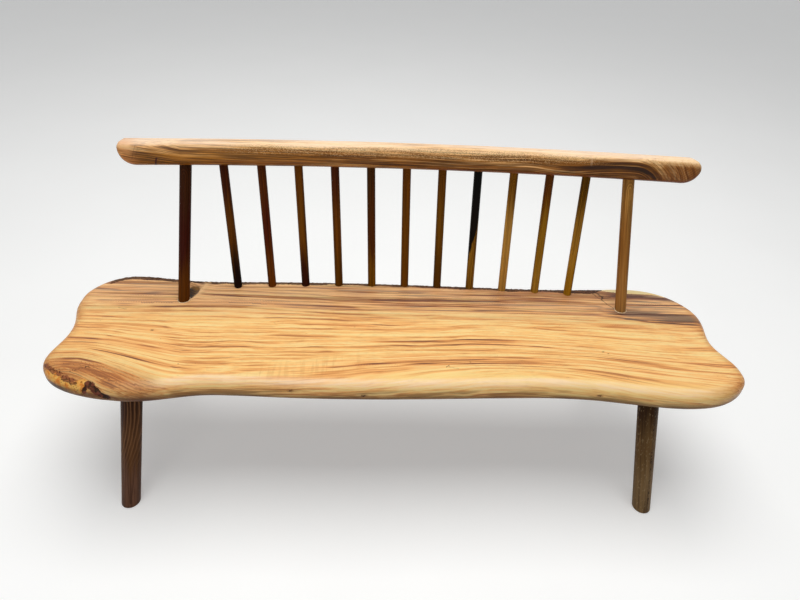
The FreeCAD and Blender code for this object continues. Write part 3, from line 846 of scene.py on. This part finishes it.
def make_rail_finish():
    """Warm brown wood with a dark arched streak near the right end, peach on top under a painted highlight,
    its front darker with painted shade.
    """
    finish = Finish("crest_wood_finish")
    grain = finish.read("grain", "Vector")
    local = finish.read("local", "Vector")
    x, y, z = local.parts()
    across = grain.parts()[1]
    look = {"ramp": [(0.0, srgb(255, 214, 152)), (0.20, srgb(246, 196, 130)), (0.38, srgb(218, 160, 96)),
                     (0.55, srgb(176, 122, 62)), (0.72, srgb(126, 80, 36)), (0.88, srgb(76, 40, 16)),
                     (1.0, srgb(36, 16, 6))],
            "sway": 0.008, "ripple": 0.0025, "density": 1.4, "rings": 74, "streak": 0.30, "line": 0.32,
            "hair": 0.22, "late": 0.30, "level": -0.06, "broad": 0.34}
    # Painted shade: the front, which faces away from the light above, is darker than the top
    murk = local.speckle((3.5, 55, 55), 3.0, 0.6)
    facing = 0.045 - (z + y * 0.42)
    facing = facing + (murk - 0.5) * 0.02
    front = facing.step(-0.01, 0.016)
    nose = x.step(-0.728, -0.7)
    slope = z + (murk - 0.5) * 0.03 - (x + 0.757) * 0.16
    upper = (1 - nose) * slope.step(0.02, 0.034)
    front = front * (1 - upper)
    mauve = x.step(-0.66, -0.56) * x.step(-0.22, -0.38)
    mauve = mauve * facing.step(-0.034, -0.022) * facing.step(-0.006, -0.016)

    # One broad dark streak and its thin neighbours arch over near the right end
    wave = (grain.speckle((8, 50, 50), 1.0) - 0.5) * 0.007
    arched = across + wave
    streaks = 0.0
    for level, above, below, amount, first, last in ((0.0550, 0.0014, 0.0115, 1.00, 0.37, 0.47),
                                                     (0.0650, 0.0018, 0.0105, 0.34, 0.44, 0.56),
                                                     (0.0415, 0.0010, 0.0026, 0.55, 0.34, 0.42),
                                                     (0.0355, 0.0010, 0.0024, 0.45, 0.42, 0.50),
                                                     (0.0290, 0.0010, 0.0024, 0.40, 0.46, 0.54)):
        rise = arched.step(level - below, level - 0.3 * below)
        band = rise * arched.step(level + above, level) * x.step(first, last) * amount
        streaks = streaks.most(band) if streaks else band
    streaks = streaks * facing.step(-0.018, -0.004)
    # The front's painted shade also adds dark figure
    heart = front * 0.5 + mauve * 0.45 + streaks * 0.9
    tip = x.step(0.63, 0.675)
    colour, height = wood(grain, look, heart, tip * 0.55)
    # Painted highlight: the top is paled towards white peach
    top = 1 - facing.step(-0.016, 0.01)
    colour = colour.dyed(top * murk.step(0.42, 0.66, 0.78, 0.24), 255, 226, 196)
    # Painted shade on the front, browner towards the right
    front_shade = front * murk.step(0.32, 0.62, 0.3, 0.75)
    tone = x.step(-0.55, -0.1).pick(srgb(166, 108, 28), srgb(120, 72, 12))
    tone = tone.dyed(x.step(0.64, 0.69), 138, 80, 18)
    colour = colour.blend(front_shade, tone)
    # Painted shade, darker still on the front at the right end
    colour = colour.dyed(front * tip * 0.42, 100, 50, 8)
    # Painted shade along the foot of the front, made patchy
    foot = front * z.step(0.02, 0.004) * murk.step(0.3, 0.55, 0.25, 0.65)
    colour = colour.dyed(foot, 94, 50, 12)
    colour = colour.dyed(streaks * 0.88, 38, 12, 2)
    ruddy = x.step(-0.69, -0.745) * murk.step(0.4, 0.6, 0.45, 0.2)
    colour = colour.dyed(ruddy, 226, 152, 92)

    # The front shows finer and sharper lines, which turn across the grain at the right end
    fine = grain.speckle((8, 300, 300), 2.0, 0.65).step(0.38, 0.62, 1.5, 0.55)
    fine_share = front * (1 - tip * 0.55)
    colour = colour.blend(fine_share, fine, "MULTIPLY")
    falling = ((z + x * 0.8 + wave) * 125).fract()
    rising = ((z - x * 0.9 + wave) * 125).fract()
    turned = x.step(0.694, 0.716).pick(falling.step(0.25, 0.98, 1.2, 0.66),
                                       rising.step(0.25, 0.98, 1.2, 0.68))
    turned_share = x.step(0.65, 0.68) * z.step(0.06, 0.034) * murk.step(0.36, 0.58, 0.35, 0.95)
    colour = colour.blend(turned_share, turned, "MULTIPLY")
    # Red-brown patches near the foot of the front, also painted shade there
    reddish = murk.step(0.52, 0.64) * z.step(0.026, 0.01) * front * 0.5
    colour = colour.dyed(reddish, 128, 66, 28)
    # Painted sheen: pale and dark speckle of a satin highlight where the top rolls over to the front
    sheen_speckle = local.speckle((300, 560, 560), 1.0)
    rolled = facing.step(-0.01, 0.0) * facing.step(0.028, 0.012)
    rolled = rolled * x.step(-0.54, -0.4) * x.step(0.56, 0.4)
    colour = colour.dyed(rolled * sheen_speckle.step(0.52, 0.62) * 0.45, 250, 208, 150)
    colour = colour.dyed(rolled * sheen_speckle.step(0.48, 0.38) * 0.5, 104, 64, 24)

    # Pale notch over the arch, a fine upright check near the left end, and faint joints
    beside = abs(x - 0.472)
    notch = beside.step(0.0046, 0.001) * z.step(0.034, 0.046) * 0.24
    colour = colour.dyed(notch, 246, 210, 170)
    for at, low, high, width, amount in ((-0.669, -0.002, 0.027, 0.0034, 0.97),
                                         (0.462, 0.036, 0.062, 0.0012, 0.26),
                                         (-0.728, 0.018, 0.058, 0.0014, 0.30),
                                         (-0.720, 0.022, 0.056, 0.0010, 0.20)):
        beside = abs(x - at - z * 0.35)
        tall = z.step(low, low + 0.004) * z.step(high, high - 0.004)
        line = beside.step(width, 0.3 * width) * tall * amount
        colour = colour.dyed(line, 62, 18, 10)
    rough = fibre_of(grain).step(0.3, 0.7, 0.28, 0.4)
    return finish.close(colour, rough, height, 0.0004, specular=0.20, coat=0.05)


def axis_of(node):
    """Middle and upward direction of a long round piece."""
    points = np.array([tuple(v.co) for v in node.data.vertices])
    middle = (points.min(axis=0) + points.max(axis=0)) / 2
    way = np.linalg.svd(points - points.mean(axis=0), full_matrices=False)[2][0]
    return Vector(middle), Vector(way * (1 if way[2] > 0 else -1))


def make_bar_finish(name, node, stops, seed, figure=None):
    """Wood that runs along a dowel or leg: its colour changes from foot to top."""
    finish = Finish(name)
    middle, way = axis_of(node)
    turn = way.rotation_difference(Vector((1, 0, 0))).to_matrix()
    place = finish.place()
    own = finish.node("Mapping", {"Vector": place, "Location": -(turn @ middle),
                                  "Rotation": turn.to_euler()}, vector_type="POINT")
    mapped = own.shift("ADD", (seed * 1.37, seed * 0.31, seed * 0.23))
    length = (Vector(node.bound_box[6]) - Vector(node.bound_box[0])).length
    blur = (mapped.speckle((4, 90, 90), 2.0) - 0.5) * (0.5 * length)
    height_at = own.parts()[0] + blur
    # The top stop holds painted shadow for the spindles and legs
    tint = height_at.step(-0.3 * length, -0.04 * length).pick(stops[0], stops[1])
    tint = tint.blend(height_at.step(0.04 * length, 0.34 * length), stops[2])
    look = {"ramp": [(0.0, (1.45, 1.40, 1.30, 1.0)), (0.30, (1.10, 1.08, 1.04, 1.0)),
                     (0.55, (0.74, 0.68, 0.62, 1.0)), (1.0, (0.34, 0.27, 0.22, 1.0))],
            "sway": 0.006, "ripple": 0.0015, "density": 2.0, "rings": 105, "streak": 0.34, "line": 0.26,
            "hair": 0.16, "late": 0.32, "level": 0.03, "broad": 0.5}
    shade, height = wood(mapped, look)
    colour = tint.blend(1.0, shade, "MULTIPLY")
    if figure:
        colour = figure(own, place, colour, middle, way, turn)
    rough = fibre_of(mapped).step(0.3, 0.7, 0.32, 0.46)
    return finish.close(colour, rough, height, 0.0003, specular=0.05)


def beside_axis(own, way, turn, towards):
    """Distance from a bar's axis in one direction, square to the bar."""
    flat = Vector(towards) - way * way.dot(Vector(towards))
    return own.dot(tuple(turn @ flat.normalized()))


def arch_at(height, size=1.0):
    """Figure of an upright: arched lines one inside another, closed above and open below."""
    def figure(own, place, colour, middle, way, turn):
        across = beside_axis(own, way, turn, (1, 0, 0))
        ahead = beside_axis(own, way, turn, (0, -1, 0))
        along = own.parts()[0] - (height - middle.z) / way.z
        over = along.most(0.0) * 0.5
        wave = (own.speckle((60, 160, 160), 2.0) - 0.5) * 0.003
        gap = (over * over + across * across).sqrt()
        rings = ((gap + wave) * (210 / size)).fract()
        share = (gap.step(0.0138 * size, 0.0105 * size) * ahead.step(0.0, 0.006)
                 * along.step(-0.1, -0.03) * 0.9)
        lines = rings.step(0.4, 0.85).pick((0.8, 0.75, 0.68, 1.0), (1.4, 1.42, 1.36, 1.0))
        return colour.blend(share, lines, "MULTIPLY")
    return figure


def slanting_boundary(own, place, colour, middle, way, turn):
    """Figure of the dark spindle: brown wood rises along its right side from the foot."""
    across = beside_axis(own, way, turn, (1, 0, 0))
    wave = (own.speckle((45, 130, 130), 3.0) - 0.5) * 0.012
    past = across + wave - own.parts()[0] * 0.18 - 0.0032
    streak = own.speckle((6, 260, 260), 2.0)
    brown = streak.step(0.4, 0.62).pick(srgb(146, 104, 28), srgb(92, 58, 12))
    return colour.blend(past.step(-0.0012, 0.0016), brown)


def sweeping_lines(own, place, colour, middle, way, turn):
    """Figure of the left front leg: a few pale lines that sweep down and outwards."""
    x, y, z = place.parts()
    below = 0.38 - z
    wave = (place.speckle((60, 60, 20), 2.0) - 0.5) * 0.004
    sweep = x + below * below + wave
    lines = (sweep * 120).fract()
    pale = lines.step(0.45, 0.85) * lines.step(1.0, 0.9) * z.step(0.1, 0.24)
    colour = colour.dyed(pale * 0.75, 136, 94, 62)
    upper = sweep.step(-0.683, -0.697) * z.step(0.2, 0.3) * 0.7
    return colour.dyed(upper, 58, 28, 18)


def pin_holes(own, place, colour, middle, way, turn):
    """Figure of the right front leg: an upright row of small dark pores, and fine pale flecks."""
    across = beside_axis(own, way, turn, (1, 0, 0))
    beside = abs(across - 0.007)
    beads = place.speckle((200, 200, 130), 1.0)
    holes = beside.step(0.0034, 0.0012) * beads.step(0.5, 0.6) * 0.8
    colour = colour.dyed(holes, 44, 26, 14)
    flecks = place.speckle((260, 260, 90), 1.0)
    return colour.dyed(flecks.step(0.6, 0.68) * 0.35, 164, 140, 104)


# Colours of each upright and leg at its foot, middle and top, with its figure. The top colours of the
# spindles hold painted shadow from the rail as well as their own colour, and those of the legs painted
# shadow from the seat
BARS = {
    "left_post": ((80, 43, 6), (53, 15, 6), (50, 23, 6), arch_at(0.772)),
    "right_post": ((153, 111, 60), (143, 98, 46), (155, 115, 60), arch_at(0.770)),
    "spindle_01": ((18, 6, 6), (90, 51, 6), (65, 27, 6), None),
    "spindle_02": ((89, 47, 6), (76, 26, 6), (90, 44, 6), arch_at(0.778, 0.75)),
    "spindle_03": ((45, 16, 6), (100, 60, 6), (97, 55, 6), None),
    "spindle_04": ((91, 55, 6), (104, 59, 6), (79, 34, 6), None),
    "spindle_05": ((111, 72, 7), (78, 39, 6), (67, 38, 6), arch_at(0.776, 0.75)),
    "spindle_06": ((99, 58, 6), (97, 57, 6), (103, 59, 6), arch_at(0.768, 0.75)),
    "spindle_07": ((83, 51, 6), (101, 65, 6), (96, 59, 6), arch_at(0.766, 0.75)),
    "spindle_08": ((30, 12, 6), (14, 8, 6), (8, 7, 6), slanting_boundary),
    "spindle_09": ((177, 134, 63), (178, 136, 65), (114, 76, 14), arch_at(0.762, 0.75)),
    "spindle_10": ((153, 115, 40), (130, 94, 20), (89, 49, 6), arch_at(0.757, 0.75)),
    "spindle_11": ((146, 106, 23), (164, 122, 43), (103, 71, 7), arch_at(0.752, 0.75)),
    "leg_front_left": ((99, 68, 52), (86, 55, 30), (42, 19, 7), sweeping_lines),
    "leg_front_right": ((112, 89, 60), (92, 68, 39), (46, 25, 6), pin_holes),
    "leg_rear_left": ((99, 68, 52), (86, 55, 30), (42, 19, 7), None),
    "leg_rear_right": ((112, 89, 60), (92, 68, 39), (46, 25, 6), None),
}


def plain_finish(name, pale, dark, roughness):
    """Mottled finish for the small pieces of glue and bark."""
    finish = Finish(name)
    place = finish.place()
    mottle = place.speckle((260, 260, 260), 3.0, 0.65)
    colour = mottle.step(0.38, 0.62).pick(pale, dark)
    return finish.close(colour, roughness, mottle, 0.0006, specular=0.30)


class Grower:
    """A tree of geometry nodes with named inputs, turned into a plain mesh."""

    def __init__(self, name, **inputs):
        self.tree = bpy.data.node_groups.new(name, "GeometryNodeTree")
        self.tree.interface.new_socket("Geometry", in_out="INPUT", socket_type="NodeSocketGeometry")
        self.values = {}
        for label, (kind, value) in inputs.items():
            socket = self.tree.interface.new_socket(label, in_out="INPUT", socket_type=f"NodeSocket{kind}")
            self.values[socket.identifier] = value
        self.tree.interface.new_socket("Geometry", in_out="OUTPUT", socket_type="NodeSocketGeometry")
        self.given = self.tree.nodes.new("NodeGroupInput").outputs

    def node(self, kind, inputs=(), **settings):
        return add_node(self.tree, kind, inputs, **settings).outputs

    def piece(self, name, result, material, points=((0, 0, 0),), lifts=((0, 0, 1),)):
        """Close the tree, grow it from some points, and keep the outcome as a plain mesh."""
        real = self.node("GeometryNodeRealizeInstances", {0: result})
        done = self.node("GeometryNodeSetMaterial", {0: real[0], "Material": material})
        self.node("NodeGroupOutput", {0: done[0]})
        piece = mesh_piece(name, points, [])
        set_attribute(piece.data, "lift", np.array(lifts), "FLOAT_VECTOR")
        modifier = piece.modifiers.new("grow", "NODES")
        modifier.node_group = self.tree
        for identifier, value in self.values.items():
            modifier[identifier] = value
        grown = bpy.data.meshes.new_from_object(piece.evaluated_get(bpy.context.evaluated_depsgraph_get()))
        piece.modifiers.remove(modifier)
        piece.data = grown
        grown.name = name
        return piece


def make_glue_bead(name, post, material):
    """Thin uneven ring of dried glue where a post enters the plank."""
    middle, way = axis_of(nodes[post])
    spot = middle + way * ((SEAT_TOP - middle.z) / way.z)
    grow = Grower(f"{name}_tree", Radius=("Float", 0.0164), Thickness=("Float", 0.0015),
                  Centre=("Vector", spot))
    ring = grow.node("GeometryNodeCurvePrimitiveCircle", {"Resolution": 96, "Radius": grow.given["Radius"]})
    place = grow.node("GeometryNodeInputPosition")
    wave = grow.node("ShaderNodeTexNoise", {"Vector": place[0], "Scale": 160.0, "Detail": 1.0})
    uneven = grow.node("ShaderNodeVectorMath", {0: wave["Color"], 1: (0.5, 0.5, 0.5)}, operation="SUBTRACT")
    offset = grow.node("ShaderNodeVectorMath", {0: uneven[0], 1: (0.0016, 0.0016, 0.0008)},
                       operation="MULTIPLY")
    moved = grow.node("GeometryNodeSetPosition", {0: ring[0], "Offset": offset[0]})
    section = grow.node("GeometryNodeCurvePrimitiveCircle",
                        {"Resolution": 8, "Radius": grow.given["Thickness"]})
    tube = grow.node("GeometryNodeCurveToMesh", {"Curve": moved[0], "Profile Curve": section[0]})
    placed = grow.node("GeometryNodeTransform", {"Geometry": tube[0], "Translation": grow.given["Centre"],
                                                 "Scale": (1.0, 1.012, 0.75)})
    return grow.piece(name, grow.node("GeometryNodeSetShadeSmooth", {0: placed[0]})[0], material)


def make_bark_flakes(material):
    """Small flakes of bark that cling to the plank's rolled back edge."""
    generator = np.random.default_rng(7)
    points, lifts = [], []
    for i in np.flatnonzero((outline[:, 1] > 0.12) & (outline[:, 0] > -0.82) & (outline[:, 0] < 0.60)):
        for turn in generator.uniform(0.10, 1.50, 1 if i % 4 else 2):
            inset = SEAT_TOP_ROUND * (1 - math.sin(turn)) + 0.0010
            drop = SEAT_TOP_ROUND * (1 - math.cos(turn)) + 0.0007
            points.append((*(outline[i] - outward[i] * inset), SEAT_TOP - drop))
            lifts.append((*(outward[i] * math.sin(turn)), math.cos(turn)))
    grow = Grower("bark_flakes_tree", Smallest=("Vector", (0.0022, 0.0014, 0.0005)),
                  Largest=("Vector", (0.0068, 0.0034, 0.0011)), Seed=("Int", 11))
    lift = grow.node("GeometryNodeInputNamedAttribute", {"Name": "lift"}, data_type="FLOAT_VECTOR")
    size = grow.node("FunctionNodeRandomValue", {"Min": grow.given["Smallest"], "Max": grow.given["Largest"],
                                                 "Seed": grow.given["Seed"]}, data_type="FLOAT_VECTOR")
    upright = grow.node("FunctionNodeAlignRotationToVector", {"Vector": lift[0]}, axis="Z", pivot_axis="X")
    lump = grow.node("GeometryNodeMeshIcoSphere", {"Radius": 1.0, "Subdivisions": 1})
    cast = grow.node("GeometryNodeInstanceOnPoints", {"Points": grow.given["Geometry"], "Instance": lump[0],
                                                      "Rotation": upright[0], "Scale": size[0]})
    return grow.piece("bark_flakes", cast[0], material, points, lifts)


FLOOR_HALF, FLOOR_GLOW = 24.0, 0.29
SKY_LIGHT, SKY_SEEN = 0.24, 0.90


def seen_rays(tree):
    """1 for the rays that show a surface itself: straight, mirrored or through glass."""
    rays = add_node(tree, "ShaderNodeLightPath").outputs
    seen = Value(rays["Is Camera Ray"])
    for name in ("Is Glossy Ray", "Is Transmission Ray"):
        seen = seen.most(Value(rays[name]))
    return seen


def make_floor():
    """Plain pale studio floor, wide enough to fill the view."""
    corners = [(x * FLOOR_HALF, y * FLOOR_HALF, 0) for x, y in ((-1, -1), (1, -1), (1, 1), (-1, 1))]
    floor = mesh_piece("studio_floor", corners, [(0, 1, 2, 3)])
    finish = Finish("floor_finish")
    place = finish.place()
    cloud = place.speckle((2, 2, 2), 3.0)
    colour = cloud.pick(srgb(226, 226, 224), srgb(234, 234, 232))
    finish.close(colour, 0.75, cloud, 0.0001)
    # The camera sees the floor a little paler than its light on the bench
    surface = finish.tree.nodes["Principled BSDF"]
    glow = seen_rays(finish.tree) * FLOOR_GLOW
    finish.tree.links.new(glow.socket, surface.inputs["Emission Strength"])
    surface.inputs["Emission Color"].default_value = (1, 1, 1, 1)
    floor.data.materials.append(finish.material)


def make_lights():
    """Broad soft light from straight above, with a weak fill in front."""
    for name, spot, size, power, aim in (("key_light", (0.0, 0.3, 4.2), 3.2, 134, (0, 0, 0.4)),
                                         ("fill_light", (-1.2, -3.0, 1.6), 2.0, 14, (0, 0, 0.5))):
        light = bpy.data.lights.new(name, "AREA")
        light.shape = "SQUARE"
        light.size = size
        light.energy = power
        lamp = bpy.data.objects.new(name, light)
        scene.collection.objects.link(lamp)
        lamp.location = spot
        lamp.rotation_euler = (Vector(aim) - Vector(spot)).to_track_quat("-Z", "Y").to_euler()
    world = bpy.data.worlds.new("studio")
    scene.world = world
    world.use_nodes = True
    sky = world.node_tree.nodes["Background"]
    sky.inputs["Color"].default_value = srgb(236, 238, 240)
    # The camera sees a pale backdrop, brighter than the light the sky gives
    seen = seen_rays(world.node_tree)
    strength = seen.node("MapRange", {"Value": seen, "To Min": SKY_LIGHT, "To Max": SKY_SEEN})
    world.node_tree.links.new(strength.socket, sky.inputs["Strength"])


CAMERA_PLACE = (-0.0601, -1.2812, 1.4835)
CAMERA_ANGLES = (36.7124, 2.9912, 2.7317)
CAMERA_SENSOR, CAMERA_LENS = 36.0, 27.0


def make_camera():
    """Camera at the photograph's place: standing height, turned a little and tipped down."""
    pitch, roll, yaw = (math.radians(angle) for angle in CAMERA_ANGLES)
    sides = [(math.cos(roll), math.sin(pitch) * math.sin(roll), math.cos(pitch) * math.sin(roll)),
             (-math.sin(roll), math.sin(pitch) * math.cos(roll), math.cos(pitch) * math.cos(roll)),
             (0.0, -math.cos(pitch), math.sin(pitch))]
    turned = [(math.cos(yaw) * x + math.sin(yaw) * y, math.cos(yaw) * y - math.sin(yaw) * x, z)
              for x, y, z in sides]
    data = bpy.data.cameras.new("camera")
    data.sensor_width = CAMERA_SENSOR
    data.lens = CAMERA_LENS
    camera = bpy.data.objects.new("camera", data)
    scene.collection.objects.link(camera)
    camera.matrix_world = Matrix.Translation(CAMERA_PLACE) @ Matrix(turned).transposed().to_4x4()
    scene.camera = camera


make_camera()
make_floor()
make_lights()
scene.view_settings.view_transform = "Standard"

seat = make_seat()
seat.data.materials.append(make_seat_finish())
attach(seat, "root")
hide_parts("seat_slab")

rail = make_rail()
rail.data.materials.append(make_rail_finish())
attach(rail, "root")
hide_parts("crest_rail")

for number, (bar, (foot, waist, top, figure)) in enumerate(BARS.items()):
    stops = [srgb(*foot), srgb(*waist), srgb(*top)]
    finished = make_bar_finish(f"{bar}_finish", nodes[bar], stops, number + 1, figure)
    nodes[bar].material_slots[0].material = finished

glue = plain_finish("glue_finish", srgb(238, 214, 176), srgb(206, 172, 128), 0.45)
for side in ("left", "right"):
    bead = make_glue_bead(f"glue_bead_{side}", f"{side}_post", glue)
    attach(bead, "root")

flakes = make_bark_flakes(plain_finish("bark_finish", srgb(104, 66, 40), srgb(46, 25, 14), 0.85))
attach(flakes, "root")
